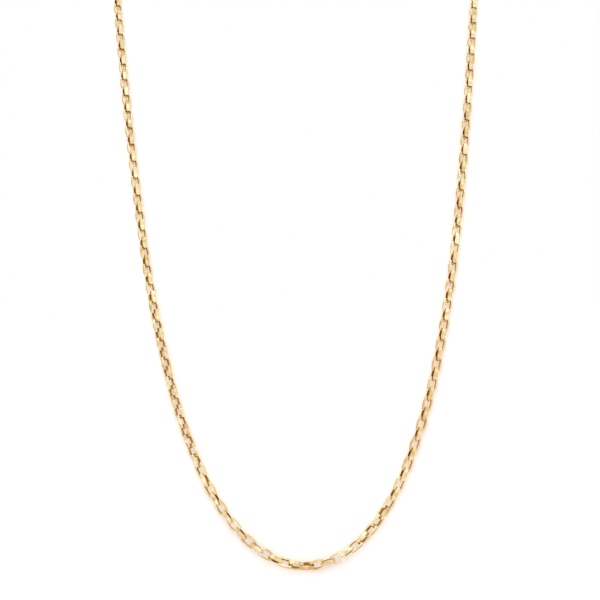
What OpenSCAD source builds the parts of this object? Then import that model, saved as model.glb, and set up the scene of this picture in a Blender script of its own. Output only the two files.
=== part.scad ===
// Cross link chain necklace: flat ribbon links, each turned a quarter turn from the last,
// hung as worn, with the clasp at the nape. Millimetres, +Z up, the front towards -Y.
// The origin is the middle of the clasp, where the chain hangs on the neck.

/* [Necklace] */
// Length of the closed necklace along its middle line
necklace_length = 508; // [460:1:560]

/* [Link] */
// Distance between the middles of two neighbouring links
link_pitch = 2.35; // [2.3:0.01:2.4]
// Clear gap between the end bars of two links that hold each other
link_play = 0.3; // [0.28:0.01:0.34]
// Width over both rails at the middle of a link
link_width = 2.04; // [2.02:0.01:2.14]
// Thickness of the two rails
rail_wall = 0.32; // [0.28:0.01:0.33]
// Thickness of the two end bars
end_wall = 0.35; // [0.3:0.01:0.37]
// Width of the flat ribbon at the middle of a rail
ribbon_width = 0.92; // [0.8:0.01:0.94]
// Width of the flat ribbon at the very end of a link
ribbon_end = 0.58; // [0.5:0.01:0.6]
// Length of the middle stretch where the ribbon keeps its full width
level_length = 0.9; // [0.7:0.05:1]
// How far each rail bows out between its ends
rail_bow = 0.2; // [0.1:0.01:0.21]
// Radius of the link's outer corners
outer_corner = 0.55; // [0.4:0.01:0.65]
// Radius of the corners of the opening
opening_corner = 0.4; // [0.3:0.01:0.42]

/* [Clasp] */
// Thickness of the clasp's round wire
clasp_wire = 1; // [0.8:0.05:1.05]
// Width over the clasp
clasp_width = 5; // [4:0.1:6]

/* [Hidden] */
$fn = 64;
BOW_SIDES = 256;
GOLD = [0.93, 0.75, 0.43];

// Way of the right half from the front's lowest point to the nape. The left half mirrors it.
// CLIMB is the heading's angle from level, in the chain's own leaning plane: 90 climbs
// straight up and 180 heads back to the middle. LEAN tips that plane back from upright.
ARC = 0;
CLIMB = 1;
LEAN = 2;
WAY = [
    // ARC, CLIMB, LEAN
    [  0,   0,    2],
    [  8,  30,    2],
    [ 18,  51,    9],
    [ 32,  66,   13],
    [ 56,  75.5, 18],
    [ 90,  81,   19],
    [130,  82.5, 20],
    [160,  83,   24],
    [178,  91,   48],
    [196, 112,   66],
    [216, 132,   77],
    [236, 157,   82],
    [254, 180,   84],
];

// Turn of the links about the chain's own line, counted from the link that faces front.
// TURN is stated for the odd links. The even ones lie a quarter turn and EXTRA further on.
// PLACE runs from the left end of the chain, below 0, to the right end.
PLACE = 0;
TURN = 1;
EXTRA = 2;
TWIST = [
    // PLACE, TURN, EXTRA
    [-250,  90,  0],
    [-153,  26,  0],
    [-113,  29,  0],
    [ -78,  33,  0],
    [ -70,  39, 12],
    [ -50,  47, 12],
    [ -38,  48, 14],
    [ -34,  56,  8],
    [ -30,  73,  0],
    [ -21,  86,  0],
    [ -14,  88,  2],
    [  -9, 106,  4],
    [  -5, 129,  0],
    [   0, 160,  0],
    [   2, 173,  0],
    [   5, 184,  3],
    [   9, 193,  0],
    [  12, 206,  6],
    [  16, 218, 10],
    [  21, 228, 12],
    [  24, 244,  0],
    [  27, 250,  0],
    [  38, 253,  0],
    [  68, 252,  0],
    [ 120, 257,  0],
    [ 150, 261,  0],
    [ 250, 270,  0],
];

// Sizes that follow from the ones above
ratio = necklace_length / 508;
way_end = WAY[len(WAY) - 1][ARC] * ratio;
opening_length = link_pitch + link_play;
link_length = opening_length + 2 * end_wall;
opening_width = link_width - 2 * rail_wall;
opening_bow = rail_bow * pow(opening_length / link_length, 2);
step = link_pitch / 4;
clasp_reach = opening_length / 2 - link_play - clasp_wire / 2;
side_links = floor((way_end - 4 - clasp_reach) / link_pitch);

climbs = [for (w = WAY) [w[ARC] * ratio, w[CLIMB]]];
leans = [for (w = WAY) [w[ARC] * ratio, w[LEAN]]];
turns = [for (t = TWIST) [t[PLACE] * ratio, t[TURN]]];
extras = [for (t = TWIST) [t[PLACE] * ratio, 90 + t[EXTRA]]];

// Heading of the right half at an arc length, and the two directions square to it:
// front faces out of the chain's plane and inward points to the inside of the loop.
function heading(arc) = let (c = lookup(arc, climbs), l = lookup(arc, leans))
    [cos(c), sin(c) * sin(l), sin(c) * cos(l)];
function front(arc) = let (l = lookup(abs(arc), leans)) [0, -cos(l), sin(l)];
function mirrored(arc, v) = arc < 0 ? [v[0], -v[1], -v[2]] : v;

// Points along the right half, one every quarter pitch, by adding up the headings
walk = [for (i = 0, p = [0, 0, 0]; i * step <= way_end; p = p + step * heading((i + 0.5) * step), i = i + 1) p];
nape = walk[len(walk) - 1];

// Point of the route at an arc length from the front, below 0 on the left half
function along(arc) = let (k = abs(arc) / step, i = floor(k), f = k - i,
    p = walk[i] * (1 - f) + walk[min(i + 1, len(walk) - 1)] * f)
    [arc < 0 ? -p[0] : p[0], p[1] - nape[1], p[2] - nape[2]];

// Turn of the link with a given number, counted from the front's lowest point
function turn_of(n) = let (arc = n * link_pitch)
    lookup(arc, turns) + (n % 2 == 0 ? lookup(arc, extras) : 0);

// Moves a link from the origin to its place: its length along the heading, and its
// opening turned about that heading by an angle from the front direction
module at_place(arc, turn) {
    x = mirrored(arc, heading(abs(arc)));
    n = front(arc);
    inward = cross(n, x);
    z = cos(turn) * n + sin(turn) * inward;
    y = cross(z, x);
    p = along(arc);
    multmatrix([
        [x[0], y[0], z[0], p[0]],
        [x[1], y[1], z[1], p[1]],
        [x[2], y[2], z[2], p[2]],
        [0, 0, 0, 1],
    ])
        children();
}

// Rectangle with round corners, its long sides bowed out between the ends
module barrel(length, width, corner, bow) {
    r = (length * length / 4 + bow * bow) / (2 * bow);
    intersection() {
        union() {
            square([length - 2 * corner, width], center = true);
            square([length, width - 2 * corner], center = true);
            for (x = [-1, 1], y = [-1, 1])
                translate([x * (length / 2 - corner), y * (width / 2 - corner)])
                    circle(corner);
        }
        intersection_for (y = [-1, 1])
            translate([0, y * (width / 2 - r)])
                circle(r, $fn = BOW_SIDES);
    }
}

// Side view of a link: the ribbon is level along the middle and narrows to both ends
module ribbon_side() {
    corners = [
        [level_length / 2, ribbon_width / 2],
        [link_length / 2, ribbon_end / 2],
        [link_length / 2, -ribbon_end / 2],
        [level_length / 2, -ribbon_width / 2],
    ];
    polygon([for (s = [1, -1]) each [for (c = corners) s * c]]);
}

// One link: a bowed ring cut from the ribbon, its length along X and its opening along Z
module link() {
    intersection() {
        linear_extrude(ribbon_width, center = true)
            difference() {
                barrel(link_length, link_width, outer_corner, rail_bow);
                barrel(opening_length, opening_width, opening_corner, opening_bow);
            }
        rotate([90, 0, 0])
            linear_extrude(link_width + 1, center = true)
                ribbon_side();
    }
}

// The whole run of links from one end of the clasp round to the other
module chain() {
    color(GOLD)
        for (n = [-side_links:side_links])
            at_place(n * link_pitch, turn_of(n))
                link();
}

// Plain oval clasp of round wire, through the last link at each end of the chain
module clasp() {
    end = along(side_links * link_pitch + clasp_reach);
    bend = (clasp_width - clasp_wire) / 2;
    straight = round(20 * (end[0] - bend)) / 10;
    color(GOLD)
        translate([0, end[1], end[2]])
            rotate([90, 0, 0]) {
                for (x = [-1, 1])
                    translate([x * straight / 2, 0, 0])
                        rotate([0, 0, x * 90 - 180])
                            rotate_extrude(angle = 180)
                                translate([bend, 0])
                                    circle(d = clasp_wire);
                for (y = [-1, 1])
                    translate([0, y * bend, 0])
                        rotate([0, 90, 0])
                            cylinder(d = clasp_wire, h = straight, center = true);
            }
}

chain();
clasp();
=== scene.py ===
# %% [markdown]
# A hanging cross link chain in polished gold
#
# The piece is a fine neck chain of 213 flat links. Every link is a small barrel-shaped ring
# cut from a ribbon, and it holds the next one at a quarter turn, so the eye sees a face-on
# link and an edge-on link in turn. The packed model already holds each link at its real size
# and place. This script gives the links their soft polished form, and lights them as a
# jeweller's table does.

# %% Load the frame
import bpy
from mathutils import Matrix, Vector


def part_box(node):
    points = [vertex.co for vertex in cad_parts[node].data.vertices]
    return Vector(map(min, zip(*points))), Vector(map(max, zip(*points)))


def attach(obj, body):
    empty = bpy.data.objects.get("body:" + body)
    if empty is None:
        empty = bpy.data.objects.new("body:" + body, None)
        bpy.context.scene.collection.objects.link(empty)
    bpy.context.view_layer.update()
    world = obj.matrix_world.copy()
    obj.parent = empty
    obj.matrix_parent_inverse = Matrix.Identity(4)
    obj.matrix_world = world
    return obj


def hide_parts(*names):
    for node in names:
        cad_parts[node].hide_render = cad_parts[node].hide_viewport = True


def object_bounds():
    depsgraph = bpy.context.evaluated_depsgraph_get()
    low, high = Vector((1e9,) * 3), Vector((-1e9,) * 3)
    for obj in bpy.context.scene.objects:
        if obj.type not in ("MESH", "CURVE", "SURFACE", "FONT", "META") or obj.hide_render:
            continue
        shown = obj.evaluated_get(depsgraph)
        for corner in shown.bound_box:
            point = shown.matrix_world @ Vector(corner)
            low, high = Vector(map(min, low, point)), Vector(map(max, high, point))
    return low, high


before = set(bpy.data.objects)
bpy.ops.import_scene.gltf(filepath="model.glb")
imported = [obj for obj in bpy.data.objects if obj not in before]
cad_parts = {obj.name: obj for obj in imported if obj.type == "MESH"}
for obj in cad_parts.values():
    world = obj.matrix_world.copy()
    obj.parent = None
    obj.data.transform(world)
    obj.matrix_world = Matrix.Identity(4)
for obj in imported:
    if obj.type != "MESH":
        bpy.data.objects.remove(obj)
cad_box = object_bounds()
print("CAD box in mm:", [[round(1000 * x, 1) for x in corner] for corner in cad_box])

# %% Imports
import math
import random

import bmesh
import bpy
import numpy as np
from mathutils import Matrix, Vector

MM = 0.001
# Corners nearer to each other than this are one corner
MERGE_DISTANCE = 0.0001 * MM
print("Blender", bpy.app.version_string)

# %% [markdown]
# The camera
#
# A product photograph of a fine chain is taken from straight in front with a fairly long
# lens, so that both sides keep their true slope. The frame's origin is the clasp at the nape.
# The lens stands about 22 cm in front of the lowest link and 6 cm above it. It is level, and
# only turned a little to the left and tipped a little to the right.

# %% Camera
LENS_AT = Vector((12.94, -316.93, -112.56)) * MM
LENS_MM = 60
SENSOR_MM = 36
NEAREST_SEEN = 1 * MM
QUARTER_TURN = math.radians(90)
TURN_LEFT = math.radians(3.203)
TIP_RIGHT = math.radians(2.235)


def make_camera():
    data = bpy.data.cameras.new("camera")
    data.sensor_width = SENSOR_MM
    data.lens = LENS_MM
    data.clip_start = NEAREST_SEEN
    camera = bpy.data.objects.new("camera", data)
    bpy.context.scene.collection.objects.link(camera)
    level = Matrix.Rotation(TURN_LEFT, 4, "Z") @ Matrix.Rotation(QUARTER_TURN, 4, "X")
    tip = Matrix.Rotation(-TIP_RIGHT, 4, "Z")
    camera.matrix_world = Matrix.Translation(LENS_AT) @ level @ tip
    bpy.context.scene.camera = camera


make_camera()
half_view = math.degrees(math.atan(SENSOR_MM / 2 / LENS_MM))
print("camera sees", round(2 * half_view, 1), "degrees")

# %% [markdown]
# Shader maths as Python expressions
#
# Node trees get long when every sum is a node that is placed by hand. Two small classes keep
# them short. A Signal wraps one socket, and each operator on it adds one Math node. A Graph
# adds any other node from its type, its settings and what goes into its sockets. A Math node
# would turn a colour grey, so colours are mixed and added by nodes of their own.

# %% Signal
class Signal:
    """The output socket of a node. An operator on it adds a Math node."""

    def __init__(self, graph, socket):
        self.graph = graph
        self.socket = socket

    def _math(self, operation, first, second):
        return self.graph.add(
            "ShaderNodeMath", {"operation": operation}, {"Value": first, "Value_001": second}
        )

    def __add__(self, other):
        return self._math("ADD", self, other)

    def __radd__(self, other):
        return self._math("ADD", other, self)

    def __sub__(self, other):
        return self._math("SUBTRACT", self, other)

    def __rsub__(self, other):
        return self._math("SUBTRACT", other, self)

    def __mul__(self, other):
        return self._math("MULTIPLY", self, other)

    def __rmul__(self, other):
        return self._math("MULTIPLY", other, self)


# %% Graph
class Graph:
    """A node tree that grows by one node a call."""

    def __init__(self, tree):
        self.tree = tree
        tree.nodes.clear()

    def add(self, kind, settings, sockets, output=None):
        """Adds a node: its settings first, then a value or a Signal for each named socket."""
        node = self.tree.nodes.new(kind)
        for name, value in settings.items():
            setattr(node, name, value)
        inputs = {socket.identifier: socket for socket in node.inputs}
        for name, value in sockets.items():
            if isinstance(value, Signal):
                self.tree.links.new(value.socket, inputs[name])
            else:
                inputs[name].default_value = value
        outputs = {socket.identifier: socket for socket in node.outputs}
        first = next(iter(outputs.values()), None)
        return Signal(self, outputs[output] if output else first)

    def blend(self, share, first, second):
        """Mixes two colours: share 0 gives the first one, and share 1 the second."""
        return self.add(
            "ShaderNodeMix",
            {"data_type": "RGBA"},
            {"Factor_Float": share, "A_Color": first, "B_Color": second},
            "Result_Color",
        )

    def colour_math(self, operation, first, second):
        """Adds or multiplies two colours, channel by channel."""
        return self.add(
            "ShaderNodeVectorMath",
            {"operation": operation},
            {"Vector": first, "Vector_001": second},
        )

    def choose(self, share, first, second):
        """Mixes two shaders: share 0 gives the first one, and share 1 the second."""
        return self.add(
            "ShaderNodeMixShader", {}, {"Fac": share, "Shader": first, "Shader_001": second}
        )

    def noise(self, place, scale, detail):
        """A soft random pattern between 0 and 1, a half on average."""
        return self.add(
            "ShaderNodeTexNoise", {}, {"Vector": place, "Scale": scale, "Detail": detail}
        )


print("a Graph can", [name for name in vars(Graph) if not name.startswith("_")])

# %% [markdown]
# The light tent
#
# Polished gold has almost no colour of its own in shade: it shows what stands round it. A
# jeweller's light tent is pale nearly all round, warm below and a cool white above, cooler on
# the window side at the left, and dim only low at the back, where the lamps don't reach. Area
# lights could stand there, but a world painted by direction is smoother: its colour climbs
# from warm to cool, and each panel is a patch of sky whose edge fades. The cloth of the tent
# hangs in folds, bright ones and dim warm ones, so no two links mirror quite the same light:
# a broad noise tints the whole sky.

# %% Tent
TENT_LOW = (0.88, 0.80, 0.76, 1)
TENT_HIGH = (1.01, 1.07, 1.13, 1)
CLIMB_FROM = -0.2
CLIMB_TO = 0.8
FOLD_SCALE = 4.0
FOLD_DETAIL = 1.0
FOLD_CONTRAST = 4.5
FOLD_SHADE = (0.85, 0.76, 0.62, 1)
FOLD_LIGHT = (1.26, 1.33, 1.30, 1)
NOISE_MEAN = 0.5
PANELS = [
    # direction from the chain, half angle in degrees, share of it that fades, added colour
    ((0.00, 0.80, -0.60), 45, 0.8, (-0.16, -0.25, -0.37)),
    ((0.00, 1.00, 0.00), 50, 0.7, (0.00, -0.10, -0.20)),
    ((0.00, -1.00, 0.00), 50, 0.7, (0.03, 0.07, 0.16)),
    ((-1.00, 0.00, 0.20), 60, 0.9, (-0.06, -0.03, 0.11)),
    ((1.00, -0.20, 0.00), 45, 0.7, (0.03, -0.01, -0.08)),
]


def patch(graph, sky, direction, half_angle, fade, added):
    """A round patch of the sky that fades at its edge."""
    nearness = graph.add(
        "ShaderNodeVectorMath",
        {"operation": "DOT_PRODUCT"},
        {"Vector": sky, "Vector_001": Vector(direction).normalized()},
        "Value",
    )
    share = graph.add(
        "ShaderNodeMapRange",
        {"interpolation_type": "SMOOTHSTEP"},
        {
            "Value": nearness,
            "From Min": math.cos(math.radians(half_angle)),
            "From Max": math.cos(math.radians(half_angle * (1 - fade))),
        },
    )
    return graph.add(
        "ShaderNodeVectorMath", {"operation": "SCALE"}, {"Vector": added, "Scale": share}
    )


def tent_light(graph, sky):
    """The tent's colour in each direction: its climb, its panels and its folds."""
    height = graph.add("ShaderNodeSeparateXYZ", {}, {"Vector": sky}, "Z")
    climb = graph.add(
        "ShaderNodeMapRange",
        {"interpolation_type": "SMOOTHSTEP"},
        {"Value": height, "From Min": CLIMB_FROM, "From Max": CLIMB_TO},
    )
    colour = graph.blend(climb, TENT_LOW, TENT_HIGH)
    for panel in PANELS:
        colour = graph.colour_math("ADD", colour, patch(graph, sky, *panel))
    folds = graph.noise(sky, FOLD_SCALE, FOLD_DETAIL)
    light = FOLD_CONTRAST * (folds - NOISE_MEAN) + NOISE_MEAN
    cloth = graph.blend(light, FOLD_SHADE, FOLD_LIGHT)
    return graph.colour_math("MULTIPLY", colour, cloth)


print("tent has", len(PANELS), "panels")

# %% [markdown]
# Who sees which light
#
# Only the gold's mirroring sees the tent. The lens sees plain white. The paper gets a soft
# lamp from above, so its shadow falls a little downwards, and just more light than white, so
# that the shadow stays faint and close to the links. A Light Path node tells the three apart.
# The Standard view keeps white paper white, where a filmic one would turn it grey.

# %% World
WHITE = (1, 1, 1, 1)
PAPER_FILL = (0.85, 0.85, 0.85)
# The lamp is a patch of sky too, with the columns of a panel
PAPER_LAMP = ((0.00, -0.70, 0.71), 60, 0.8, (1.10, 1.10, 1.10))


def background(graph, colour):
    return graph.add("ShaderNodeBackground", {}, {"Color": colour, "Strength": 1.0})


def make_world():
    """The tent for mirroring, plain white for the lens and the lamps for paper."""
    world = bpy.data.worlds.new("light_tent")
    world.use_nodes = True
    graph = Graph(world.node_tree)
    sky = graph.add("ShaderNodeTexCoord", {}, {}, "Generated")
    seen = graph.add("ShaderNodeLightPath", {}, {}, "Is Camera Ray")
    mirrored = graph.add("ShaderNodeLightPath", {}, {}, "Is Glossy Ray")
    tent = background(graph, tent_light(graph, sky))
    lamps = background(
        graph, graph.colour_math("ADD", PAPER_FILL, patch(graph, sky, *PAPER_LAMP))
    )
    plain = graph.choose(seen, lamps, background(graph, WHITE))
    shown = graph.choose(mirrored, plain, tent)
    graph.add("ShaderNodeOutputWorld", {}, {"Surface": shown})
    bpy.context.scene.world = world
    bpy.context.scene.view_settings.view_transform = "Standard"
    return graph


world_graph = make_world()
print("world has", len(world_graph.tree.nodes), "nodes")

# %% [markdown]
# The table
#
# The chain hangs a little above a table of white paper. It is one large round sheet, lit just
# past white, so it runs into the white of the tent without a horizon. The gold doesn't mirror
# it, because the tent's lower half already stands for the paper. Every piece of the scene
# becomes an object with a material in the same way, so the helpers for that come first.

# %% Floor
FLOOR_RADIUS = 4.0
FLOOR_SIDES = 64
FLOOR_GAP = 6.0 * MM
WHITE_PAPER = (0.98, 0.955, 0.945, 1)


def make_material(name, finish):
    """A new material. Its surface is what finish returns for the material's graph."""
    material = bpy.data.materials.new(name)
    material.use_nodes = True
    graph = Graph(material.node_tree)
    graph.add("ShaderNodeOutputMaterial", {}, {"Surface": finish(graph)})
    return material


def make_object(name, bm, material):
    """Turns a bmesh into an object of the scene."""
    mesh = bpy.data.meshes.new(name)
    bm.to_mesh(mesh)
    bm.free()
    mesh.materials.append(material)
    thing = bpy.data.objects.new(name, mesh)
    bpy.context.scene.collection.objects.link(thing)
    return thing


def show_to_lens_only(thing):
    """Keeps a piece of the stage out of the gold's mirroring, and its shade off the rest."""
    thing.visible_glossy = False
    thing.visible_diffuse = False
    thing.visible_shadow = False


def paper_finish(graph):
    return graph.add("ShaderNodeBsdfDiffuse", {}, {"Color": WHITE_PAPER})


def make_floor():
    bm = bmesh.new()
    bmesh.ops.create_circle(bm, cap_ends=True, segments=FLOOR_SIDES, radius=FLOOR_RADIUS)
    bmesh.ops.translate(bm, verts=bm.verts, vec=(0, 0, cad_box[0].z - FLOOR_GAP))
    floor = make_object("table_top", bm, make_material("white_paper", paper_finish))
    show_to_lens_only(floor)


make_floor()
print("table lies", round(FLOOR_GAP / MM, 1), "mm below the lowest link")

# %% [markdown]
# Polished gold
#
# Fourteen karat gold is a metal with a warm reflection: red comes back whole, green about
# three quarters, blue under a half, and at a glancing angle it is deeper still. A tumbled
# chain isn't a perfect mirror: the polish ripples a little, and some links are a touch duller
# than others. The walls of the openings are painted a deep brown gold, a painted shade for the
# light that is lost in there. That painted shade is deepest halfway through a link and fades
# towards both of its sides, and the ripple lightens it in places. The end bars, where the
# links touch, get a deeper painted contact shadow than the rails, and a little painted shade
# darkens the outer rims. The links carry three marks for this. The mark tone is one number
# for each link, a second mark says how much painted shade a face gets, and side is 1 or -1
# on the two level sides and runs through 0 halfway between them.

# %% Gold
GOLD_RICH = (0.79, 0.56, 0.27, 1)
GOLD_PALE = (1.00, 0.93, 0.62, 1)
# Deep brown gold painted into the openings: a painted shade, not a tone of the metal
GOLD_PAINTED_SHADE = (0.33, 0.14, 0.03, 1)
GOLD_GLANCING = (0.90, 0.60, 0.30, 1)
RIPPLES_PER_MM = 0.9
RIPPLE_DETAIL = 2.0
GRAIN_PER_MM = 9.0
GRAIN_DETAIL = 3.0

# How strongly each pattern acts on the paleness, the painted shade, the roughness and the height
PALE_FROM = 1.0
PALE_BY_RIPPLE = 2.2
PALE_BY_TONE = 0.8
PAINTED_SHADE_STRENGTH = 2.3
PAINTED_SHADE_LOST_AT_SIDES = 2.0
PAINTED_SHADE_LOST_BY_RIPPLE = 1.8
ROUGHNESS = 0.07
ROUGH_BY_GRAIN = 0.06
ROUGH_BY_TONE = 0.05
HEIGHT_BY_GRAIN = 0.04
BUMP_STRENGTH = 0.25
BUMP_DISTANCE = 0.1 * MM


def mark(graph, name):
    return graph.add("ShaderNodeAttribute", {"attribute_name": name}, {}, "Fac")


def gold_colour(graph, ripple):
    """Rich to pale gold over the outside, and a painted shade of deep brown gold in the openings.
    """
    inside, side, tone = (mark(graph, name) for name in ("inside", "side", "tone"))
    paleness = PALE_BY_RIPPLE * ripple + PALE_BY_TONE * tone - PALE_FROM
    # Painted shade: strongest halfway through an opening's wall, weaker towards the level sides
    # and where the ripple is high
    painted_shade_share = inside * (PAINTED_SHADE_STRENGTH - PAINTED_SHADE_LOST_AT_SIDES * side * side - PAINTED_SHADE_LOST_BY_RIPPLE * ripple)
    return graph.blend(painted_shade_share, graph.blend(paleness, GOLD_RICH, GOLD_PALE), GOLD_PAINTED_SHADE)


def gold_finish(graph):
    """Polished metal whose colour, roughness and evenness change over the links."""
    place = graph.add("ShaderNodeTexCoord", {}, {}, "Object")
    ripple = graph.noise(place, RIPPLES_PER_MM / MM, RIPPLE_DETAIL)
    grain = graph.noise(place, GRAIN_PER_MM / MM, GRAIN_DETAIL)
    unevenness = graph.add(
        "ShaderNodeBump",
        {},
        {
            "Height": ripple + HEIGHT_BY_GRAIN * grain,
            "Strength": BUMP_STRENGTH,
            "Distance": BUMP_DISTANCE,
        },
    )
    return graph.add(
        "ShaderNodeBsdfPrincipled",
        {},
        {
            "Base Color": gold_colour(graph, ripple),
            "Metallic": 1.0,
            "Specular Tint": GOLD_GLANCING,
            "Roughness": ROUGHNESS + ROUGH_BY_GRAIN * grain + ROUGH_BY_TONE * mark(graph, "tone"),
            "Normal": unevenness,
        },
    )


gold = make_material("polished_yellow_gold", gold_finish)
print("gold has", len(gold.node_tree.nodes), "nodes")

# %% [markdown]
# Where each link lies
#
# The CAD chain is one node that holds all its links as loose solids. A copy of its mesh is
# merged and split into those solids. A link is longest along its own length, narrower across
# both rails, and thinnest along its opening. So the spread of its surface round its middle
# gives its three directions, with no need to know the chain's route.

# %% Read the links' places
def islands(bm):
    """The loose parts of a mesh, each as a list of faces, in the mesh's own order."""
    reached = set()
    found = []
    for start in bm.faces:
        if start in reached:
            continue
        reached.add(start)
        part = [start]
        for face in part:
            for edge in face.edges:
                for other in edge.link_faces:
                    if other not in reached:
                        reached.add(other)
                        part.append(other)
        found.append(part)
    return found


def place_of(part):
    """Middle and directions of one link, as a matrix: length along X, opening along Z."""
    corners = np.array([[vert.co for vert in face.verts] for face in part])
    areas = np.array([face.calc_area() for face in part])
    centre = (corners.mean(1) * areas[:, None]).sum(0) / areas.sum()
    # A triangle's spread about a point: its area / 12 times the products of its corners
    # with themselves and of their sum with itself.
    spread = np.zeros((3, 3))
    for triangle, area in zip(corners - centre, areas):
        total = triangle.sum(0)
        spread += area / 12 * (triangle.T @ triangle + np.outer(total, total))
    directions = np.linalg.eigh(spread)[1][:, ::-1]
    directions[:, 2] = np.cross(directions[:, 0], directions[:, 1])
    place = Matrix(directions.tolist()).to_4x4()
    place.translation = centre
    return place


def read_links():
    """The place of every link, and the size of one along its own three directions."""
    bm = bmesh.new()
    bm.from_mesh(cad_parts["chain"].data)
    bmesh.ops.remove_doubles(bm, verts=bm.verts, dist=MERGE_DISTANCE)
    parts = islands(bm)
    places = [place_of(part) for part in parts]
    to_first = places[0].inverted()
    corners = np.array([to_first @ vert.co for face in parts[0] for vert in face.verts])
    bm.free()
    return places, np.ptp(corners, axis=0)


places, link_size = read_links()
print(len(places), "links of", [round(x / MM, 2) for x in link_size], "mm")

# %% [markdown]
# Cutting one link
#
# The real link is punched from a ribbon. Its outline could be drawn and extruded, but a box
# that is inset, bridged and bevelled needs no list of points, and keeps the faces few in a
# shape that is repeated 213 times. An inset on both level sides gives the opening's rims, and
# their two loops are bridged through the link. The end bars are thicker than the rails, so
# the inset is shortened. Then the rails are cut where the ribbon starts to narrow.

# %% Box, opening and cuts
LINK_LENGTH, LINK_WIDTH, RIBBON_WIDTH = link_size
RAIL_WALL = 0.32 * MM
END_WALL = 0.35 * MM
LEVEL_LENGTH = 0.9 * MM
# Least share of a face's normal along Z on a level side, and along X on an end bar
LEVEL_FROM = 0.9
ALONG_FROM = 0.5


def upright(edge):
    """Whether an edge stands along the opening."""
    low, high = (vert.co for vert in edge.verts)
    return (low - high).to_2d().length < MERGE_DISTANCE


def across(edge):
    """Whether an edge keeps its place along the link's length."""
    return abs(edge.verts[0].co.x - edge.verts[1].co.x) < MERGE_DISTANCE


def level(face):
    return abs(face.normal.z) > LEVEL_FROM


def at_an_end(face):
    return abs(face.normal.x) > ALONG_FROM


def cut_opening(bm):
    """Insets both level sides, joins the two inner loops and returns the opening's walls."""
    sides = [face for face in bm.faces if level(face)]
    bmesh.ops.inset_region(bm, faces=sides, thickness=RAIL_WALL, use_even_offset=True)
    shorter = (LINK_LENGTH / 2 - END_WALL) / (LINK_LENGTH / 2 - RAIL_WALL)
    inner = list({vert for face in sides for vert in face.verts})
    bmesh.ops.scale(bm, verts=inner, vec=(shorter, 1, 1))
    loops = [edge for face in sides for edge in face.edges]
    bmesh.ops.delete(bm, geom=sides, context="FACES_ONLY")
    return bmesh.ops.bridge_loops(bm, edges=loops)["faces"]


def cut_rails(bm):
    """Cuts the link where its ribbon starts to narrow, and clears the seams of the inset."""
    for side in (-1, 1):
        bmesh.ops.bisect_plane(
            bm,
            geom=[*bm.verts, *bm.edges, *bm.faces],
            plane_co=(side * LEVEL_LENGTH / 2, 0, 0),
            plane_no=(1, 0, 0),
        )
    seams = [edge for edge in bm.edges if all(level(face) for face in edge.link_faces)]
    seams = [edge for edge in seams if not across(edge)]
    bmesh.ops.dissolve_edges(bm, edges=seams)


print("opening of", round((LINK_LENGTH - 2 * END_WALL) / MM, 2), "mm along the link")

# %% [markdown]
# Shaping one link
#
# Tumbling leaves the corners of the outline and of the opening round and the outer rims soft,
# and the rails bow out. The upright edges are bevelled in two steps, outside and then in the
# opening. The ribbon is narrowed to both ends and the rails are bowed by moving the corners
# there, and last the outer rims get one narrow bevel. The opening's rims stay sharp, as they
# are on the real link, where the punch cut them.

# %% Corners, bow and rims
RIBBON_END = 0.58 * MM
RAIL_BOW = 0.2 * MM
OUTER_CORNER = 0.37 * MM
OPENING_CORNER = 0.42 * MM
CORNER_STEPS = 2
RIM = 0.12 * MM
RIM_STEPS = 1


def bevel(bm, edges, width, steps):
    bmesh.ops.bevel(
        bm,
        geom=edges,
        offset=width,
        segments=steps,
        profile=0.5,
        affect="EDGES",
        material=-1,
    )


def round_corners(bm, inside):
    """Rounds the corners of the outline, and then those of the opening."""
    standing = [edge for edge in bm.edges if upright(edge)]
    corners = [edge for edge in standing if abs(edge.verts[0].co.x) > LEVEL_LENGTH]
    outer = [edge for edge in corners if not any(face[inside] for face in edge.link_faces)]
    bevel(bm, outer, OUTER_CORNER, CORNER_STEPS)
    inner = [edge for edge in corners if edge.is_valid and edge not in outer]
    bevel(bm, inner, OPENING_CORNER, CORNER_STEPS)
    bm.normal_update()


def outer_rims(bm, inside):
    """The edges between a level side and the outline."""
    return [
        edge
        for edge in bm.edges
        if {level(face) for face in edge.link_faces} == {True, False}
        and not any(face[inside] for face in edge.link_faces)
    ]


def shape_ribbon(bm):
    """Narrows the ribbon to both ends, and bows the rails."""
    for vert in bm.verts:
        beyond = max(0.0, abs(vert.co.x) - LEVEL_LENGTH / 2)
        share = beyond / (LINK_LENGTH / 2 - LEVEL_LENGTH / 2)
        vert.co.z *= 1 - share * (1 - RIBBON_END / RIBBON_WIDTH)
        bow = RAIL_BOW * (2 * vert.co.x / LINK_LENGTH) ** 2
        vert.co.y -= math.copysign(bow, vert.co.y)


print("rims of", round(RIM / MM, 2), "mm")

# %% [markdown]
# One finished link
#
# The steps run in order, and the marks for the finish are set on the way, the painted shade
# among them. The walls of the opening get their painted shade at once, deeper on the end bars
# than on the rails, because their normals tell rails from end bars only while the link is
# still a box. The rims are found last, by their slant, and get a little painted shade. The
# round corners are shaded smooth, and the sharp turns stay sharp, so that the ribbon keeps its
# crisp edge.

# %% Model one link
# Least share of a soft rim's normal along Z, and how much painted shade each kind of face gets
RIM_FROM = 0.3
RIM_PAINTED_SHADE = 0.3
RAIL_PAINTED_SHADE = 0.95
END_PAINTED_SHADE = 1.3
SHARP_ANGLE = math.radians(60)


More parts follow.
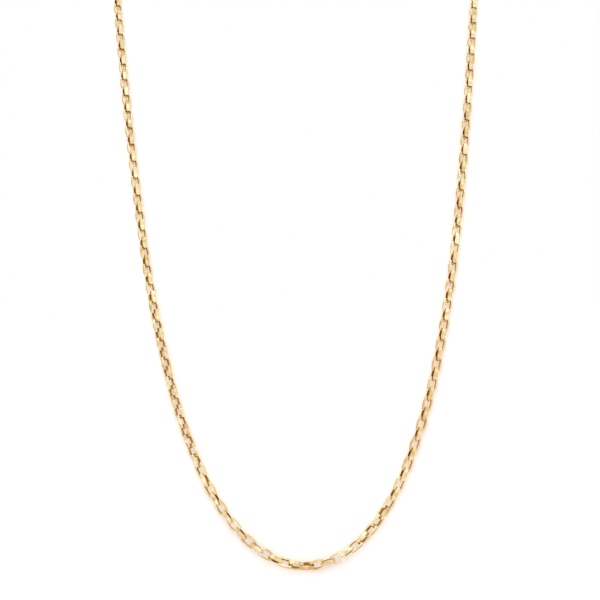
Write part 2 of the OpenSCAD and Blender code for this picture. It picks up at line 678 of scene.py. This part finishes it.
def make_link():
    bm = bmesh.new()
    inside = bm.faces.layers.float.new("inside")
    side = bm.verts.layers.float.new("side")
    bmesh.ops.create_cube(bm, size=1)
    bmesh.ops.scale(bm, verts=bm.verts, vec=(LINK_LENGTH, LINK_WIDTH, RIBBON_WIDTH))
    # Painted shade on the opening's walls, and a deeper painted contact shadow on the end bars
    for face in cut_opening(bm):
        face[inside] = END_PAINTED_SHADE if at_an_end(face) else RAIL_PAINTED_SHADE
    bm.normal_update()
    cut_rails(bm)
    round_corners(bm, inside)
    rims = outer_rims(bm, inside)
    shape_ribbon(bm)
    bmesh.ops.recalc_face_normals(bm, faces=bm.faces)
    bevel(bm, rims, RIM, RIM_STEPS)
    bm.normal_update()
    # A little painted shade on the outer rims, found by their slant
    for face in bm.faces:
        if RIM_FROM < abs(face.normal.z) < LEVEL_FROM:
            face[inside] = RIM_PAINTED_SHADE
    for vert in bm.verts:
        vert[side] = math.copysign(1, vert.co.z)
    for edge in bm.edges:
        edge.smooth = upright(edge) or edge.calc_face_angle(0) < SHARP_ANGLE
    mesh = bpy.data.meshes.new("one_link")
    bm.to_mesh(mesh)
    bm.free()
    return mesh


link_mesh = make_link()
print("one link has", len(link_mesh.polygons), "faces")

# %% [markdown]
# The whole chain
#
# The link is copied to every place and joined to one mesh, because 213 objects would only
# slow the scene down. Each copy also gets one number, its tone, so that the finish can vary
# from link to link.

# %% Join the links
TONE_SEED = 7


def make_chain():
    """One mesh with a copy of the link at every place, each with a tone of its own."""
    random.seed(TONE_SEED)
    bm = bmesh.new()
    tone = bm.verts.layers.float.new("tone")
    bm.verts.layers.float.new("side")
    bm.faces.layers.float.new("inside")
    for place in places:
        first = len(bm.verts)
        bm.from_mesh(link_mesh)
        bm.verts.ensure_lookup_table()
        copied = bm.verts[first:]
        bmesh.ops.transform(bm, matrix=place, verts=copied)
        link_tone = random.random()
        for vert in copied:
            vert[tone] = link_tone
    return make_object("gold_chain", bm, gold)


chain = make_chain()
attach(chain, "root")
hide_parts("chain")
print("chain has", len(chain.data.polygons), "faces")

# %% [markdown]
# The white card
#
# A chain this fine is photographed with white card right behind it. The card takes a soft warm
# shadow along the links and inside their openings, which makes the strand look as full as it
# does to the eye. Here a narrow card follows the front drop. It is a level grid that is stood
# up, bent to the chain's own lean and cut back to a strip that ends where the chain turns to
# the nape. It is white on white, so only its shadow is seen, and from behind it is clear. It
# belongs to the stage, not to the necklace.

# %% Backdrop
CARD_GAP = 1.5 * MM
CARD_REACH = 7.0 * MM
CARD_CELL = 1.4 * MM
CARD_TOP = -20.0 * MM
WHITE_CARD = (1.00, 0.94, 0.915, 1)


def card_finish(graph):
    """White paper from the front, and clear from behind."""
    paper = graph.add("ShaderNodeBsdfDiffuse", {}, {"Color": WHITE_CARD})
    clear = graph.add("ShaderNodeBsdfTransparent", {}, {})
    behind = graph.add("ShaderNodeNewGeometry", {}, {}, "Backfacing")
    return graph.choose(behind, paper, clear)


def bend_card(drop):
    """A grid as large as the front drop, stood up and bent to lie just behind it."""
    low, high = drop.min(0) - CARD_REACH, drop.max(0) + CARD_REACH
    size = float(max(high[0] - low[0], high[2] - low[2]))
    cells = round(size / CARD_CELL)
    bm = bmesh.new()
    bmesh.ops.create_grid(bm, x_segments=cells, y_segments=cells, size=size / 2)
    bmesh.ops.rotate(bm, verts=bm.verts, matrix=Matrix.Rotation(QUARTER_TURN, 3, "X"))
    bmesh.ops.translate(bm, verts=bm.verts, vec=(0, 0, low[2] + size / 2))
    for vert in bm.verts:
        vert.co.y = np.interp(vert.co.z, drop[:, 2], drop[:, 1]) + CARD_GAP
    return bm


def cut_card(bm, drop):
    """Keeps only the strip near the drop, below its turn to the nape."""
    far = []
    for face in bm.faces:
        middle = np.array(face.calc_center_median())
        away = np.linalg.norm((drop - middle)[:, [0, 2]], axis=1).min()
        if away > CARD_REACH or middle[2] > CARD_TOP:
            far.append(face)
    bmesh.ops.delete(bm, geom=far, context="FACES")


def make_card():
    """The strip of card behind all links that hang lower than its top."""
    centres = np.array([place.translation for place in places])
    drop = centres[centres[:, 2] < CARD_TOP]
    drop = drop[np.argsort(drop[:, 2])]
    bm = bend_card(drop)
    cut_card(bm, drop)
    card = make_object("white_card", bm, make_material("one_sided_card", card_finish))
    show_to_lens_only(card)
    return card


card = make_card()
print("card has", len(card.data.polygons), "faces")

# %% [markdown]
# The clasp
#
# The clasp lies at the nape, where it is never seen from the front. It is one plain oval of
# round wire through the last link at each side. A round section is spun half a turn, the
# half is mirrored, and the open ends are bridged to the two straight runs.

# %% Model the clasp
WIRE_SIDES = 16
BEND_STEPS = 16


def spin_bend(bm, wire, bend, straight):
    """One half-round end of the oval, from a round section spun half a turn."""
    section = bmesh.ops.create_circle(bm, segments=WIRE_SIDES, radius=wire / 2)["verts"]
    bmesh.ops.rotate(bm, verts=section, matrix=Matrix.Rotation(QUARTER_TURN, 3, "Y"))
    bmesh.ops.translate(bm, verts=section, vec=(straight / 2, 0, bend))
    bmesh.ops.spin(
        bm,
        geom=[*bm.verts, *bm.edges],
        cent=(straight / 2, 0, 0),
        axis=(0, 1, 0),
        angle=2 * QUARTER_TURN,
        steps=BEND_STEPS,
    )


def bridge_runs(bm):
    """Joins the open ends of the two bends, above and then below."""
    for side in (-1, 1):
        ends = [
            edge
            for edge in bm.edges
            if edge.is_boundary and side * (edge.verts[0].co.z + edge.verts[1].co.z) > 0
        ]
        bmesh.ops.bridge_loops(bm, edges=ends)


def make_clasp():
    """The oval of round wire, as large as the CAD clasp's box."""
    low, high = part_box("clasp")
    wire = high.y - low.y
    bend = (high.z - low.z - wire) / 2
    straight = (high.x - low.x) - (high.z - low.z)
    bm = bmesh.new()
    spin_bend(bm, wire, bend, straight)
    every_part = [*bm.verts, *bm.edges, *bm.faces]
    bmesh.ops.mirror(bm, geom=every_part, axis="X", merge_dist=MERGE_DISTANCE)
    bridge_runs(bm)
    bmesh.ops.remove_doubles(bm, verts=bm.verts, dist=MERGE_DISTANCE)
    bmesh.ops.recalc_face_normals(bm, faces=bm.faces)
    bmesh.ops.translate(bm, verts=bm.verts, vec=(low + high) / 2)
    clasp = make_object("oval_clasp", bm, gold)
    clasp.data.shade_smooth()
    return clasp


clasp = make_clasp()
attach(clasp, "root")
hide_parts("clasp")
print("clasp has", len(clasp.data.polygons), "faces")

# %% [markdown]
# Sizes
#
# The CAD model's box is printed in mm at the start, where the frame is loaded.
